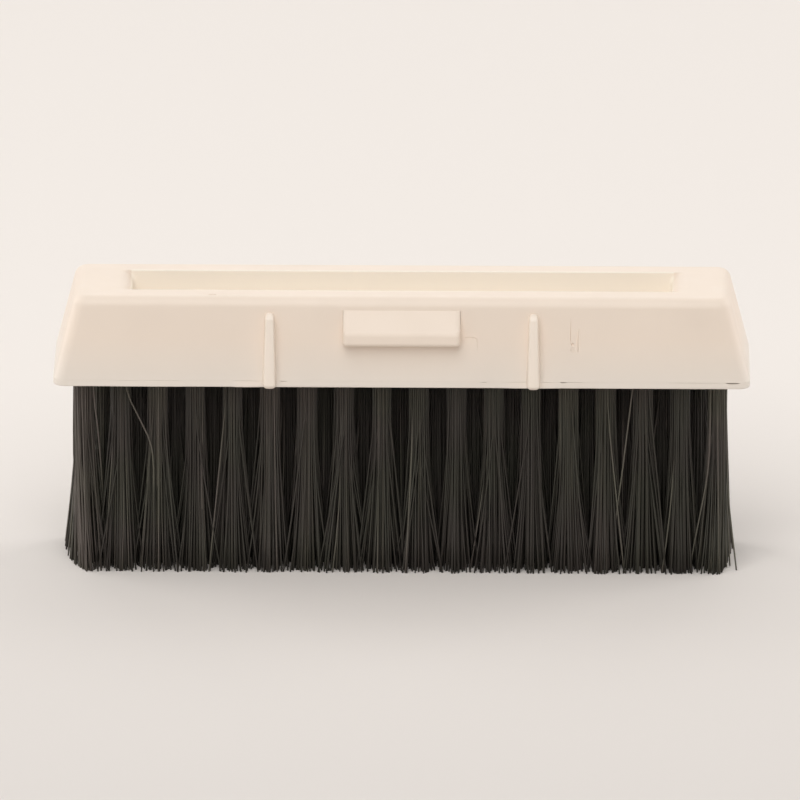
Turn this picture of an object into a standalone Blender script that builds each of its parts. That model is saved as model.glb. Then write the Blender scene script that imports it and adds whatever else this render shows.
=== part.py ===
"""Window track brush head.

A long, narrow brush head: a moulded housing with a socket in its top, catches
and guide ribs on its long sides, a bristle block that closes it from below,
and staggered rows of filament tufts that stand in holes of the block.

Units are metres. Z is up, X runs along the head, and -Y is the front. The
origin is on the surface that the filament tips stand on, under the middle.
"""

import math
import random
from collections import namedtuple

import bmesh
import bpy
from mathutils import Vector
from mathutils.geometry import delaunay_2d_cdt

# Driving dimensions of the whole head
HEAD_LENGTH = 0.140          # housing foot, along X
HEAD_DEPTH = 0.0285          # housing foot, along Y
BODY_HEIGHT = 0.0181         # underside of the block to the rim
BRISTLE_LENGTH = 0.0400      # free length of the filaments

# Fits
FIT_GAP = 0.0003             # between pieces that touch on the real head

# Housing walls
END_DRAFT = math.radians(14.3)
SIDE_DRAFT = math.radians(6.4)
FOOT_CORNER_RADIUS = 0.0035
RIM_CORNER_RADIUS = 0.0052
LEAST_CORNER_RADIUS = 0.0006
RIM_FILLET = 0.0030
WALL = 0.0018
RIM_THICKNESS = 0.0024

# Socket in the top of the housing
SOCKET_END_SETBACK = 0.01575  # end of the foot to the end wall of the socket
SOCKET_SIDE_SETBACK = 0.00775  # side of the foot to the long wall of the socket
SOCKET_DRAFT = math.radians(0.8)
SOCKET_CORNER_RADIUS = 0.0009
SOCKET_WALL = 0.0016
SOCKET_FLOOR = 0.0018
MOUTH_ROUND_ENDS = 0.0027
MOUTH_ROUND_SIDES = 0.00025

# Catches, one in the middle of each long side
CATCH_WIDTH = 0.0235
CATCH_REACH = 0.0028
CATCH_TOP_BELOW_RIM = 0.0024
CATCH_RAMP_HEIGHT = 0.0041
CATCH_NOSE_HEIGHT = 0.0026
CATCH_LIP_RADIUS = 0.0009
CATCH_SIDE_ROUND = 0.0010
CATCH_SIDE_FLARE = 0.0004    # draft of each side, out to the wall
CATCH_ROOT = 0.0006          # how deep the catch runs into the wall

# Guide ribs, two on each long side
RIB_SPACING = 0.0530
RIB_TOP_BELOW_RIM = 0.0029
RIB_TOP_WIDTH = 0.0017
RIB_FOOT_WIDTH = 0.0024
RIB_REACH = 0.0020
RIB_END_ROUND = 0.0011
RIB_DROP = 0.0001            # foot of the rib below the underside of the block
RIB_ROOT = 0.0001            # how deep the rib runs into the wall

# Bristle block
FLANGE_THICKNESS = 0.0010
FLANGE_SETBACK = 0.0004      # from the face of the housing
BLOCK_FLOOR = 0.0032
BLOCK_RIM = 0.0008
BACKING_THICKNESS = 0.0015
BACKING_HEADROOM = 0.0009    # backing to the underside of the socket
BACKING_GAP = 0.0005         # between neighbouring slices, along X

# Tufts
TUFTS_IN_OUTER_ROW = 18
TUFT_ROWS = 3
TUFT_HOLE_RADIUS = 0.0021
TUFT_END_EDGE = 0.0002       # outermost hole to the rim of the block, along X
TUFT_SIDE_EDGE = 0.0024      # outer row of holes to the rim of the block
RING_STRANDS = 6
ROOT_EDGE = 0.00006          # packed filaments to the edge of their root
ROOT_GAP = 0.00031           # between packed filaments
STRAND_TIP_RADIUS = 0.00034
TIP_WANDER = 0.0003
END_LEAN = 0.0016            # of the outermost tufts, at their tips
ROW_LEAN = 0.0005            # of the outer rows, at their tips
LEAN_POWER = 5               # keeps the lean to the last few tufts
SPLAY_HEIGHT_SHARE = 0.62    # where a filament starts to splay, of its length
SPLAY_RADIUS_SHARE = 0.20    # how far it has opened there, of the whole fan

# Facets
CORNER_STEPS = 4
FILLET_STEPS = 5
MOUTH_STEPS = 3
HOLE_SIDES = 8
STRAND_SIDES = 3
NOSE_STEPS = 4
SHARP_ANGLE = math.radians(30)
RANDOM_SEED = 11
FILL_INSIDE = 1              # triangles inside the outlines only
FILL_TOLERANCE = 1e-7

# Looks, as linear RGB and roughness
CREAM = (0.80, 0.70, 0.60)
CREAM_ROUGHNESS = 0.45
CHARCOAL = (0.040, 0.035, 0.030)
CHARCOAL_ROUGHNESS = 0.55

# Levels
Z_BLOCK = BRISTLE_LENGTH
Z_FLANGE_TOP = Z_BLOCK + FLANGE_THICKNESS
Z_FOOT = Z_FLANGE_TOP + FIT_GAP
Z_RIM = Z_BLOCK + BODY_HEIGHT
Z_FILLET_CENTRE = Z_RIM - RIM_FILLET
Z_BLOCK_FLOOR_TOP = Z_BLOCK + BLOCK_FLOOR
Z_BACKING = Z_BLOCK_FLOOR_TOP + FIT_GAP
Z_BACKING_TOP = Z_BACKING + BACKING_THICKNESS
Z_SOCKET_UNDERSIDE = Z_BACKING_TOP + BACKING_HEADROOM
Z_SOCKET_FLOOR = Z_SOCKET_UNDERSIDE + SOCKET_FLOOR
Z_BLOCK_TOP = Z_SOCKET_UNDERSIDE - FIT_GAP

# Socket, which takes what the rim and the block leave
SOCKET_LENGTH = HEAD_LENGTH - 2 * SOCKET_END_SETBACK
SOCKET_WIDTH = HEAD_DEPTH - 2 * SOCKET_SIDE_SETBACK
SOCKET_DEPTH = Z_RIM - Z_SOCKET_FLOOR

# Inside of the block's rim, at the top of the backing
TRAY_INSET = WALL + FIT_GAP + BLOCK_RIM
TRAY_RISE = Z_BACKING_TOP - Z_FOOT
TRAY_HALF_LENGTH = HEAD_LENGTH / 2 - TRAY_INSET - TRAY_RISE * math.tan(END_DRAFT)
TRAY_HALF_DEPTH = HEAD_DEPTH / 2 - TRAY_INSET - TRAY_RISE * math.tan(SIDE_DRAFT)

# Field of tufts, spread over the inside of the block
OUTER_TUFT_X = TRAY_HALF_LENGTH - TUFT_END_EDGE - TUFT_HOLE_RADIUS
OUTER_TUFT_Y = TRAY_HALF_DEPTH - TUFT_SIDE_EDGE - TUFT_HOLE_RADIUS
TUFT_PITCH = 2 * OUTER_TUFT_X / (TUFTS_IN_OUTER_ROW - 1)
ROW_PITCH = 2 * OUTER_TUFT_Y / (TUFT_ROWS - 1)
TUFT_DISTANCE = min(TUFT_PITCH, math.hypot(TUFT_PITCH / 2, ROW_PITCH))

# Filaments, packed three across in their root and fanned up to the next tuft
TUFT_PLUG_RADIUS = TUFT_HOLE_RADIUS - FIT_GAP
PACKED_RADIUS = TUFT_PLUG_RADIUS * math.cos(math.pi / HOLE_SIDES) - ROOT_EDGE
STRAND_ROOT_RADIUS = (PACKED_RADIUS - ROOT_GAP) / 3
ROOT_RING_RADIUS = 2 * STRAND_ROOT_RADIUS + ROOT_GAP
FAN_RADIUS = (TUFT_DISTANCE - FIT_GAP) / 2
TIP_RING_RADIUS = FAN_RADIUS - STRAND_TIP_RADIUS - math.hypot(TIP_WANDER, TIP_WANDER)

Section = namedtuple("Section", "half_x half_y radius z")


def clear_scene():
    """Remove every object, so that the script starts from nothing."""
    for obj in list(bpy.data.objects):
        bpy.data.objects.remove(obj, do_unlink=True)


def plastic(name, colour, roughness):
    """A plain moulded plastic; the colour is linear RGB."""
    material = bpy.data.materials.new(name)
    material.use_nodes = True
    shader = material.node_tree.nodes["Principled BSDF"]
    shader.inputs["Base Color"].default_value = (*colour, 1.0)
    shader.inputs["Roughness"].default_value = roughness
    shader.inputs["Metallic"].default_value = 0.0
    material.diffuse_color = (*colour, 1.0)
    return material


def new_object(name, bm, material):
    """Turn a finished bmesh into a shaded object of the scene."""
    bmesh.ops.recalc_face_normals(bm, faces=bm.faces)
    mesh = bpy.data.meshes.new(name)
    bm.to_mesh(mesh)
    bm.free()
    mesh.materials.append(material)
    mesh.shade_smooth()
    mesh.set_sharp_from_angle(angle=SHARP_ANGLE)
    obj = bpy.data.objects.new(name, mesh)
    bpy.context.scene.collection.objects.link(obj)
    return obj


def unite(target, tool):
    """Join a tool object to the target with a Boolean, and hide the tool."""
    tool.hide_render = True
    tool.display_type = 'WIRE'
    union = target.modifiers.new(tool.name, 'BOOLEAN')
    union.operation = 'UNION'
    union.solver = 'EXACT'
    union.object = tool


def add_ring(bm, points):
    """Add a loop of vertices."""
    return [bm.verts.new(point) for point in points]


def bridge(bm, lower, upper):
    """Join two loops of the same length with a band of faces."""
    for i in range(len(lower)):
        bm.faces.new((lower[i - 1], lower[i], upper[i], upper[i - 1]))


def fill_around(bm, outline, islands):
    """Fill a level outline with triangles, leaving its convex islands open."""
    loops = [outline, *islands]
    verts = [vert for loop in loops for vert in loop]
    owner = [number for number, loop in enumerate(loops) for _ in loop]
    edges = []
    for number, loop in enumerate(loops):
        first = owner.index(number)
        edges.extend((first + i, first + (i + 1) % len(loop)) for i in range(len(loop)))
    points = [vert.co.xy for vert in verts]
    _, _, triangles, origins, _, _ = delaunay_2d_cdt(
        points, edges, [], FILL_INSIDE, FILL_TOLERANCE)
    for triangle in triangles:
        corners = [origins[i][0] for i in triangle]
        owners = {owner[i] for i in corners}
        if len(owners) > 1 or owners == {0}:
            bm.faces.new([verts[i] for i in corners])


def rounded_rectangle(section):
    """Points of a rectangle with round corners, from the +X side round."""
    points = []
    for corner in range(4):
        start = corner * math.pi / 2
        sign_x = 1 if corner in (0, 3) else -1
        sign_y = 1 if corner in (0, 1) else -1
        centre_x = sign_x * (section.half_x - section.radius)
        centre_y = sign_y * (section.half_y - section.radius)
        for step in range(CORNER_STEPS + 1):
            angle = start + step / CORNER_STEPS * math.pi / 2
            points.append(Vector((
                centre_x + section.radius * math.cos(angle),
                centre_y + section.radius * math.sin(angle),
                section.z)))
    return points


def polygon(centre_x, centre_y, radius, sides, z, turn=0.0):
    """Points of a regular polygon in a level plane."""
    return [Vector((
        centre_x + radius * math.cos(turn + math.tau * i / sides),
        centre_y + radius * math.sin(turn + math.tau * i / sides),
        z)) for i in range(sides)]


def wall_half(z, foot_half, draft):
    """Half size of the drafted wall at a height, without the rim fillet."""
    return foot_half - (z - Z_FOOT) * math.tan(draft)


def outer_half(z, foot_half, draft):
    """Half size of the outer skin: drafted wall, then rim fillet."""
    tangent_z = Z_FILLET_CENTRE + RIM_FILLET * math.sin(draft)
    if z <= tangent_z:
        return wall_half(z, foot_half, draft)
    centre = wall_half(tangent_z, foot_half, draft) - RIM_FILLET * math.cos(draft)
    rise = min(z - Z_FILLET_CENTRE, RIM_FILLET)
    return centre + math.sqrt(RIM_FILLET ** 2 - rise ** 2)


def outer_section(z, inset=0.0):
    """Outline of the housing at a height, set in by the same amount all round."""
    half_x = outer_half(z, HEAD_LENGTH / 2, END_DRAFT)
    half_y = outer_half(z, HEAD_DEPTH / 2, SIDE_DRAFT)
    rise_share = (z - Z_FOOT) / (Z_RIM - Z_FOOT)
    radius = FOOT_CORNER_RADIUS + (RIM_CORNER_RADIUS - FOOT_CORNER_RADIUS) * rise_share
    rounded_off = wall_half(z, HEAD_DEPTH / 2, SIDE_DRAFT) - half_y
    radius = max(radius - rounded_off - inset, LEAST_CORNER_RADIUS)
    return Section(half_x - inset, half_y - inset, radius, z)


def front_face(z):
    """Distance of the long outer face from the middle plane."""
    return wall_half(z, HEAD_DEPTH / 2, SIDE_DRAFT)


def mouth_flare(depth, radius):
    """How far a rounded mouth stands back at a depth below the rim."""
    if depth >= radius:
        return 0.0
    return radius - math.sqrt(radius ** 2 - (radius - depth) ** 2)


def socket_section(depth, wall=0.0):
    """Outline of the socket at a depth below the rim, grown by a wall."""
    taper = (depth - SOCKET_DEPTH) * math.tan(SOCKET_DRAFT)
    flare_x = mouth_flare(depth, MOUTH_ROUND_ENDS) if wall == 0.0 else 0.0
    flare_y = mouth_flare(depth, MOUTH_ROUND_SIDES) if wall == 0.0 else 0.0
    return Section(
        SOCKET_LENGTH / 2 - taper + flare_x + wall,
        SOCKET_WIDTH / 2 - taper + flare_y + wall,
        SOCKET_CORNER_RADIUS + flare_y + wall,
        Z_RIM - depth)


def loft(bm, sections):
    """Skin a run of rounded rectangles; returns the first and last loops."""
    rings = [add_ring(bm, rounded_rectangle(section)) for section in sections]
    for lower, upper in zip(rings, rings[1:]):
        bridge(bm, lower, upper)
    return rings[0], rings[-1]


def housing_sections():
    """The housing's skin, from the socket floor over the rim to the inside.

    The run goes up the socket, over the rim, down the outside, across the
    foot, up the hollow inside, across under the rim and down round the socket.
    """
    mouth_depths = [SOCKET_DEPTH]
    for step in range(2 * MOUTH_STEPS + 1):
        turn = (1 - step / (2 * MOUTH_STEPS)) * math.pi / 2
        mouth_depths.append(MOUTH_ROUND_ENDS * (1 - math.cos(turn)))
    sections = [socket_section(depth) for depth in mouth_depths]

    for step in range(FILLET_STEPS + 1):
        turn = (1 - step / FILLET_STEPS) * math.pi / 2
        sections.append(outer_section(Z_FILLET_CENTRE + RIM_FILLET * math.sin(turn)))
    sections.append(outer_section(Z_FOOT))

    ceiling = Z_RIM - RIM_THICKNESS
    inside_top = Section(
        wall_half(ceiling, HEAD_LENGTH / 2, END_DRAFT) - WALL,
        wall_half(ceiling, HEAD_DEPTH / 2, SIDE_DRAFT) - WALL,
        RIM_CORNER_RADIUS - WALL,
        ceiling)
    sections.append(outer_section(Z_FOOT, inset=WALL))
    sections.append(inside_top)
    sections.append(socket_section(RIM_THICKNESS, wall=SOCKET_WALL))
    sections.append(socket_section(Z_RIM - Z_SOCKET_UNDERSIDE, wall=SOCKET_WALL))
    return sections


def make_catches(material):
    """Snap catches: a ramp from the rim side, a nose and a rounded lip."""
    bm = bmesh.new()
    top = Z_RIM - CATCH_TOP_BELOW_RIM
    nose_top = top - CATCH_RAMP_HEIGHT
    lip_centre = nose_top - CATCH_NOSE_HEIGHT + CATCH_LIP_RADIUS
    half_width = CATCH_WIDTH / 2
    right_end = [(half_width + CATCH_SIDE_FLARE, CATCH_LIP_RADIUS)]
    for step in range(NOSE_STEPS + 1):
        turn = step / NOSE_STEPS * math.pi / 2
        right_end.append((half_width - CATCH_SIDE_ROUND * (1 - math.cos(turn)),
                          CATCH_REACH - CATCH_SIDE_ROUND * (1 - math.sin(turn))))
    places = [(-x, reach) for x, reach in right_end] + right_end[::-1]
    for side in (-1, 1):
        rings = []
        for x, reach in places:
            lip = [(reach - CATCH_LIP_RADIUS * (1 - math.cos(turn_down)),
                    lip_centre - CATCH_LIP_RADIUS * math.sin(turn_down))
                   for turn_down in (i / NOSE_STEPS * math.pi / 2 for i in range(NOSE_STEPS + 1))]
            outline = [(-CATCH_ROOT, top), (0.0, top), (reach, nose_top), *lip,
                       (-CATCH_ROOT, lip[-1][1])]
            rings.append(add_ring(bm, [Vector((x, side * (front_face(z) + out), z))
                                       for out, z in outline]))
        for left, right in zip(rings, rings[1:]):
            bridge(bm, left, right)
        bm.faces.new(rings[0])
        bm.faces.new(rings[-1])
    return new_object("catch_tool", bm, material)


def rib_outline(x, side, half_width, reach, z):
    """U-shaped outline of a rib at a height, with a round nose."""
    face = front_face(z)
    shoulder = max(reach - half_width, -RIB_ROOT / 2)
    depth = reach - shoulder
    points = [Vector((x - half_width, side * (face - RIB_ROOT), z))]
    for step in range(NOSE_STEPS + 1):
        turn = math.pi * (1 - step / NOSE_STEPS)
        points.append(Vector((
            x + half_width * math.cos(turn),
            side * (face + shoulder + depth * math.sin(turn)),
            z)))
    points.append(Vector((x + half_width, side * (face - RIB_ROOT), z)))
    return points


def make_ribs(material):
    """Guide ribs with round ends, down past the underside of the block."""
    bm = bmesh.new()
    top = Z_RIM - RIB_TOP_BELOW_RIM
    foot = Z_BLOCK - RIB_DROP
    levels = []
    for step in range(NOSE_STEPS):
        turn = step / NOSE_STEPS * math.pi / 2
        levels.append((foot + RIB_END_ROUND * (1 - math.cos(turn)),
                       RIB_END_ROUND * (1 - math.sin(turn))))
    levels.append((foot + RIB_END_ROUND, 0.0))
    for step in range(NOSE_STEPS + 1):
        turn = step / NOSE_STEPS * math.pi / 2
        levels.append((top - RIB_END_ROUND * (1 - math.sin(turn)),
                       RIB_END_ROUND * (1 - math.cos(turn))))
    for side in (-1, 1):
        for x in (-RIB_SPACING / 2, RIB_SPACING / 2):
            rings = []
            for z, lost in levels:
                share = (z - foot) / (top - foot)
                width = RIB_FOOT_WIDTH + (RIB_TOP_WIDTH - RIB_FOOT_WIDTH) * share
                half_width = width / 2 - lost / 2
                rings.append(add_ring(bm, rib_outline(x, side, half_width, RIB_REACH - lost, z)))
            for lower, upper in zip(rings, rings[1:]):
                bridge(bm, lower, upper)
            bm.faces.new(rings[0])
            bm.faces.new(rings[-1])
    return new_object("rib_tool", bm, material)


def make_housing(material):
    """Hollow moulded housing with its socket, catches and ribs."""
    bm = bmesh.new()
    socket_floor, underside = loft(bm, housing_sections())
    fill_around(bm, socket_floor, [])
    fill_around(bm, underside, [])
    housing = new_object("housing", bm, material)
    unite(housing, make_catches(material))
    unite(housing, make_ribs(material))
    return housing


def row_y(row):
    """Place of a row of tufts across the head."""
    return row * ROW_PITCH - OUTER_TUFT_Y


def tuft_x(column, row):
    """Place of a tuft along the head; odd rows are shifted half a pitch."""
    shift = TUFT_PITCH / 2 if row % 2 else 0.0
    return column * TUFT_PITCH - OUTER_TUFT_X + shift


def tufts_of_column(column):
    """Root places of the tufts that share one slice of backing."""
    last = column == TUFTS_IN_OUTER_ROW - 1
    rows = [row for row in range(TUFT_ROWS) if not (last and row % 2)]
    return [(tuft_x(column, row), row_y(row)) for row in rows]


def make_block(material):
    """Bristle block: a tray with a flange and a hole for every tuft."""
    bm = bmesh.new()
    body_inset = WALL + FIT_GAP
    foot = outer_section(Z_FOOT)
    flange = Section(foot.half_x - FLANGE_SETBACK, foot.half_y - FLANGE_SETBACK,
                     foot.radius - FLANGE_SETBACK, Z_BLOCK)
    body_foot = outer_section(Z_FOOT, inset=body_inset)
    sections = [
        flange,
        flange._replace(z=Z_FLANGE_TOP),
        body_foot._replace(z=Z_FLANGE_TOP),
        outer_section(Z_BLOCK_TOP, inset=body_inset),
        outer_section(Z_BLOCK_TOP, inset=TRAY_INSET),
        outer_section(Z_BLOCK_FLOOR_TOP, inset=TRAY_INSET),
    ]
    underside, floor_top = loft(bm, sections)
    lower_holes = []
    upper_holes = []
    for column in range(TUFTS_IN_OUTER_ROW):
        for x, y in tufts_of_column(column):
            lower = add_ring(bm, polygon(x, y, TUFT_HOLE_RADIUS, HOLE_SIDES, Z_BLOCK))
            upper = add_ring(bm, polygon(x, y, TUFT_HOLE_RADIUS, HOLE_SIDES, Z_BLOCK_FLOOR_TOP))
            bridge(bm, lower, upper)
            lower_holes.append(lower)
            upper_holes.append(upper)
    fill_around(bm, underside, lower_holes)
    fill_around(bm, floor_top, upper_holes)
    return new_object("bristle_block", bm, material)


def backing_outline(column):
    """Outline of a slice of backing, which steps aside at the middle row.

    The end slices have cut corners, clear of the round corners of the tray.
    """
    centre = tuft_x(column, 0)
    half_width = (TUFT_PITCH - BACKING_GAP) / 2
    half_length = TRAY_HALF_LENGTH - FIT_GAP
    half_depth = TRAY_HALF_DEPTH - FIT_GAP
    corner_cut = outer_section(Z_BACKING_TOP, inset=TRAY_INSET).radius - FIT_GAP
    step_aside = TUFT_PITCH / 2
    outer_y = ROW_PITCH - TUFT_PLUG_RADIUS
    inner_y = TUFT_PLUG_RADIUS
    left_shift = step_aside if column > 0 else 0.0
    right_shift = step_aside if column < TUFTS_IN_OUTER_ROW - 1 else 0.0

    def edge(sign, shift):
        x = max(-half_length, min(centre + sign * half_width, half_length))
        if shift == 0.0:
            inner_x = x - sign * corner_cut
            return [(inner_x, -half_depth), (x, corner_cut - half_depth),
                    (x, half_depth - corner_cut), (inner_x, half_depth)]
        return [(x, -half_depth), (x, -outer_y), (x + shift, -inner_y),
                (x + shift, inner_y), (x, outer_y), (x, half_depth)]

    return edge(1, right_shift) + edge(-1, left_shift)[::-1]


def add_strand(bm, root, tip, splay, turn):
    """One filament from its root to its level tip; returns the root loop.

    A filament that opens has a knee, where it starts to splay.
    """
    stations = [(0.0, 0.0)]
    if splay:
        stations.append((SPLAY_HEIGHT_SHARE, SPLAY_RADIUS_SHARE))
    stations.append((1.0, 1.0))
    rings = []
    for height_share, open_share in stations:
        x = root[0] + (tip[0] - root[0]) * open_share
        y = root[1] + (tip[1] - root[1]) * open_share
        radius = STRAND_ROOT_RADIUS + (STRAND_TIP_RADIUS - STRAND_ROOT_RADIUS) * height_share
        z = Z_BLOCK * (1 - height_share)
        rings.append(add_ring(bm, polygon(x, y, radius, STRAND_SIDES, z, turn)))
    for upper, lower in zip(rings, rings[1:]):
        bridge(bm, upper, lower)
    bm.faces.new(rings[-1])
    return rings[0]


def add_tuft(bm, x, y, rng):
    """One tuft: a packed root that fills its hole, and a fan of filaments."""
    lean_x = END_LEAN * (x / OUTER_TUFT_X) ** LEAN_POWER
    lean_y = ROW_LEAN * y / OUTER_TUFT_Y
    roots = [add_strand(bm, (x, y), (x + lean_x, y + lean_y), False, 0.0)]
    for i in range(RING_STRANDS):
        turn = math.tau * (i + 0.5) / RING_STRANDS
        root = (x + ROOT_RING_RADIUS * math.cos(turn), y + ROOT_RING_RADIUS * math.sin(turn))
        wander_x = rng.uniform(-TIP_WANDER, TIP_WANDER)
        wander_y = rng.uniform(-TIP_WANDER, TIP_WANDER)
        tip = (x + lean_x + TIP_RING_RADIUS * math.cos(turn) + wander_x,
               y + lean_y + TIP_RING_RADIUS * math.sin(turn) + wander_y)
        roots.append(add_strand(bm, root, tip, True, turn))
    lower = add_ring(bm, polygon(x, y, TUFT_PLUG_RADIUS, HOLE_SIDES, Z_BLOCK))
    upper = add_ring(bm, polygon(x, y, TUFT_PLUG_RADIUS, HOLE_SIDES, Z_BACKING))
    fill_around(bm, lower, roots)
    bridge(bm, lower, upper)
    return upper


def make_tuft_column(column, material):
    """The tufts of one column, fused to their slice of backing."""
    rng = random.Random(RANDOM_SEED + column)
    bm = bmesh.new()
    plugs = [add_tuft(bm, x, y, rng) for x, y in tufts_of_column(column)]
    outline = backing_outline(column)
    lower = add_ring(bm, [Vector((x, y, Z_BACKING)) for x, y in outline])
    upper = add_ring(bm, [Vector((x, y, Z_BACKING_TOP)) for x, y in outline])
    bridge(bm, lower, upper)
    fill_around(bm, lower, plugs)
    fill_around(bm, upper, [])
    return new_object(f"tuft_column_{column + 1:02d}", bm, material)


def main():
    clear_scene()
    cream = plastic("cream_plastic", CREAM, CREAM_ROUGHNESS)
    charcoal = plastic("charcoal_filament", CHARCOAL, CHARCOAL_ROUGHNESS)
    make_housing(cream)
    make_block(cream)
    for column in range(TUFTS_IN_OUTER_ROW):
        make_tuft_column(column, charcoal)


main()
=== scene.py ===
"""Looks of a window track brush head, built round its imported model.

The housing and the bristle block are modelled again with finer rounds and
the small marks of a moulded part, and every tuft gets its single filaments.
Units are metres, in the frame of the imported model: X along the head, -Y the
front, Z up from the surface that the filament tips stand on.
"""

import math
from collections import namedtuple

import bmesh
import bpy
import numpy as np
from mathutils import Matrix, Vector
from mathutils.geometry import delaunay_2d_cdt


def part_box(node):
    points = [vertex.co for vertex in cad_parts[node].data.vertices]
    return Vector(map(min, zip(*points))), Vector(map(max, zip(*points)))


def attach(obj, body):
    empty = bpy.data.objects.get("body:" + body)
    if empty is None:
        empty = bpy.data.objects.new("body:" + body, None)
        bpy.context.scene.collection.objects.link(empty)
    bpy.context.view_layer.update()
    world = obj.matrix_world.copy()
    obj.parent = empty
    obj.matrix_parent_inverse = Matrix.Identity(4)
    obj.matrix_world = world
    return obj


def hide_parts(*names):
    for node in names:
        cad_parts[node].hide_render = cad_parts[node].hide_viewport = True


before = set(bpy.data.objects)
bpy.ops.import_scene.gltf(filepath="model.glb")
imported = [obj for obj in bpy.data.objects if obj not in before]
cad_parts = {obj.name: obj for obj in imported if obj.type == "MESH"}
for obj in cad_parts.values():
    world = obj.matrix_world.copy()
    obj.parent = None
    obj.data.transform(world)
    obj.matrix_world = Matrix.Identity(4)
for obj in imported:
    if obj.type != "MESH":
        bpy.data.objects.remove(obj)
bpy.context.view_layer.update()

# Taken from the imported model
HOUSING_LOW, HOUSING_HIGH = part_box("housing")
BLOCK_LOW, BLOCK_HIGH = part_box("bristle_block")
HEAD_LENGTH = HOUSING_HIGH.x - HOUSING_LOW.x
Z_RIM = HOUSING_HIGH.z
Z_BLOCK = BLOCK_LOW.z
Z_BLOCK_TOP = BLOCK_HIGH.z

# Housing; its rounds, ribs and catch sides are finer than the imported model's
HEAD_DEPTH = 0.0285
FLANGE_THICKNESS = 0.0010
FIT_GAP = 0.0003
END_DRAFT = math.radians(14.3)
SIDE_DRAFT = math.radians(6.4)
FOOT_CORNER_RADIUS = 0.0024
RIM_CORNER_RADIUS = 0.0027
LEAST_CORNER_RADIUS = 0.0006
RIM_FILLET = 0.00215
WALL = 0.0018
RIM_THICKNESS = 0.0024
FOOT_EDGE = 0.000012
FOOT_EDGE_POINT = (FOOT_EDGE / 4, FOOT_EDGE / 3)    # setback and height, between its ends
SOCKET_END_SETBACK = 0.01575
SOCKET_SIDE_SETBACK = 0.00775
SOCKET_DRAFT = math.radians(0.8)
SOCKET_CORNER_RADIUS = 0.0009
SOCKET_WALL = 0.0016
SOCKET_DEPTH = 0.0104
SOCKET_FLOOR = 0.0018
MOUTH_ROUND_ENDS = 0.0027
MOUTH_ROUND_SIDES = 0.00025
CATCH_WIDTH = 0.0235
CATCH_REACH = 0.0028
CATCH_TOP_BELOW_RIM = 0.0024
CATCH_RAMP_HEIGHT = 0.0041
CATCH_NOSE_HEIGHT = 0.0026
CATCH_LIP_RADIUS = 0.0009
CATCH_BROW_ROUND = 0.0006
CATCH_SIDE_ROUND = 0.0010
CATCH_SIDE_FLARE = 0.0001
CATCH_ROOT = 0.0006
RIB_SPACING = 0.0530
RIB_TOP_BELOW_RIM = 0.0029
RIB_TOP_WIDTH = 0.0016
RIB_FOOT_WIDTH = 0.0026
RIB_NOSE_POWER = 0.5                # of sine and cosine: 1 makes a round nose, 0 a square one
RIB_REACH = 0.0020
RIB_END_ROUND = 0.0011
RIB_END_WIDTH_SHARE = 0.80          # of its width and of its reach, lost at each end
RIB_END_REACH_SHARE = 0.85
RIB_FLARE = 0.00018
RIB_ROOT = 0.0001
RIB_DROP = 0.0001

# Block, with a flange that closes on the housing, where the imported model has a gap
FLANGE_SETBACK = 0.00002
FLANGE_EDGE = 0.00024
SEAM_EDGE = 0.000012
SEAM_GAP = 0.000010
BLOCK_RIM = 0.0008
BLOCK_FLOOR = 0.0032
BACKING_THICKNESS = 0.0015
BACKING_GAP = 0.0005

# Where the seam gapes and where the flange stands proud: the middle and half
# length of each stretch, over half the head's length, and its strength
SEAM_OPENING = 0.00026
SEAM_OPEN_SHARES = (
    (-0.339, 0.010, 0.35),
    (0.236, 0.010, 0.35),
    (0.464, 0.009, 0.70),
    (0.497, 0.026, 0.15),
    (0.845, 0.085, 0.15),
    (0.950, 0.019, 1.00),
)
FLANGE_PROUD = 0.00020
FLANGE_PROUD_SHARES = (
    (-0.730, 0.120, 0.50),
    (-0.443, 0.043, 1.00),
    (0.370, 0.085, 0.90),
)
SEAM_STATIONS = 300
STRETCH_POWER = 4                   # how squarely each stretch ends

# Small marks on the front face and the rim. A point of a line has its X, its Z
# and the share of the line's depth or height there
MARK_OVERRUN = 0.00012
INSERT_LINE_DEPTH = 0.00011
INSERT_LINE_HALF_WIDTH = 0.00015
INSERT_LINE = (
    (0.0126, 0.0503, 0.3), (0.0131, 0.0503, 1.0), (0.0147, 0.0503, 1.0),
    (0.0151, 0.0500, 0.8), (0.0152, 0.0490, 0.5), (0.0153, 0.0472, 0.1))
NICK_DEPTH = 0.00016
NICK_HALF_WIDTH = 0.00011
NICK_LINE = (
    (0.0339, 0.0543, 0.1), (0.0339, 0.0525, 0.7), (0.0339, 0.0497, 1.0), (0.03395, 0.0492, 0.2))
BURR_HEIGHT = 0.00032
BURR_HALF_WIDTH = 0.00022
BURR_LINE = (
    (0.03555, 0.0523, 0.1), (0.0354, 0.0510, 0.6), (0.0353, 0.0495, 1.0),
    (0.0354, 0.0480, 0.9), (0.0354, 0.0474, 0.2))
DIMPLE_SIZE = (0.00032, 0.00030, 0.00034)
DIMPLE_AT = (0.0343, 0.0490)
DENT_SIZE = (0.00045, 0.00012, 0.0007)
DENT_AT = (0.0343, 0.0479)
RIM_DIMPLE_SIZE = (0.0010, 0.00022, 0.00010)
RIM_DIMPLE_AT = (-0.03805, -0.0099, 0.05806)

# Tufts
TUFTS_IN_OUTER_ROW = 18
TUFT_ROWS = 3
TUFT_HOLE_RADIUS = 0.0021
TUFT_END_EDGE = 0.0002
TUFT_SIDE_EDGE = 0.0024
PLUG_RECESS = 0.0006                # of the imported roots, from the block's underside
FIELD_SHIFT = -0.00027       # of all filaments in their holes, towards the left

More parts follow.
